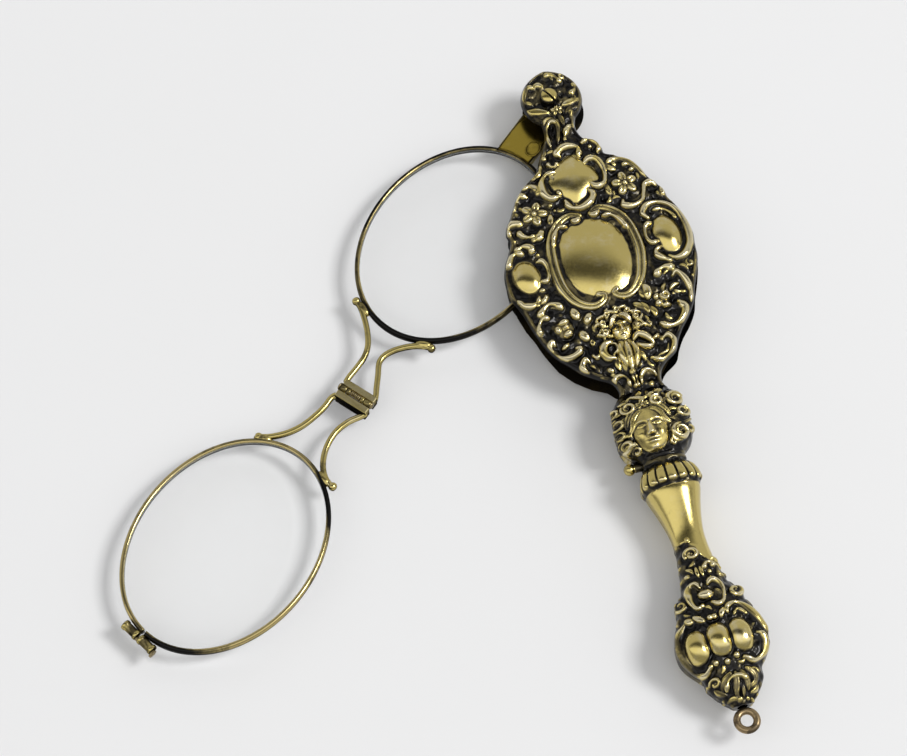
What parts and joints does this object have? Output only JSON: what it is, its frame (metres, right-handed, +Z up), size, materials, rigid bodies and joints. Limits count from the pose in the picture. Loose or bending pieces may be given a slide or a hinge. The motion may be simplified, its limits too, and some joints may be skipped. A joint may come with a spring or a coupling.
{
  "type": "folding lorgnette",
  "caption": "Folding hand spectacles: oval lenses on a sprung bridge swing out of a gilt, relief-worked handle that is also their case, with a release stud and a hanging ring.",
  "frame": {"origin": "on the flat of the back plate, under the middle of the shield, with the part lying on its back", "axes": "+Z up through the front plate, +Y along the handle towards the pivot knob, the lenses swung out towards -X"},
  "size_m": [0.1042, 0.1169, 0.0102],
  "materials": {
    "oxidised_gilt": "gilt relief with blackened recesses and rubbed highlights",
    "gilt": "worn satin gilding",
    "dark_gilt": "tarnished gilt wire",
    "steel": "bright drawn wire",
    "glass": "polished clear lens"
  },
  "bodies": {
    "case": {"case_front_plate": "oxidised_gilt", "case_back_plate": "oxidised_gilt", "front_liner": "gilt", "back_liner": "gilt", "handle_front_half": "oxidised_gilt", "handle_back_half": "oxidised_gilt", "hanging_ring": "dark_gilt", "pivot_screw": "gilt", "pivot_bush": "steel", "pivot_washer": "gilt", "swing_spring": "steel", "pivot_nut": "gilt", "catch_spring": "steel"},
    "near_set": {"lens_arm": "gilt", "near_rim": "dark_gilt", "near_lens": "glass", "near_hinge_leaf": "gilt", "hinge_pin": "steel", "bridge_spring": "steel", "near_arm_upper": "gilt", "near_arm_lower": "gilt"},
    "far_set": {"far_hinge_leaf": "gilt", "far_arm_upper": "gilt", "far_arm_lower": "gilt", "far_rim": "dark_gilt", "far_lens": "glass", "far_barrel_upper": "gilt", "far_barrel_lower": "gilt", "far_rim_screw": "steel"},
    "release": {"release_button": "gilt", "catch_latch": "steel"}
  },
  "joints": [
    {"name": "lens_swing", "type": "hinge", "parent": "case", "child": "near_set", "pos_m": [0, 0.031, 0.005], "axis": [0, 0, -1], "range_deg": [-32, 60]},
    {"name": "bridge_fold", "type": "hinge", "parent": "near_set", "child": "far_set", "pos_m": [-0.04536, -0.0092, 0.005], "axis": [-0.6508, 0.7593, 0], "range_deg": [0, 155], "stiffness_Nm_per_rad": 0.003, "springref_deg": -34.38},
    {"name": "release_push", "type": "slide", "parent": "case", "child": "release", "axis": [1, 0, 0], "range_m": [0, 0.0015], "stiffness_N_per_m": 400, "springref_m": -0.0005, "deforming": ["catch_spring"]}
  ]
}
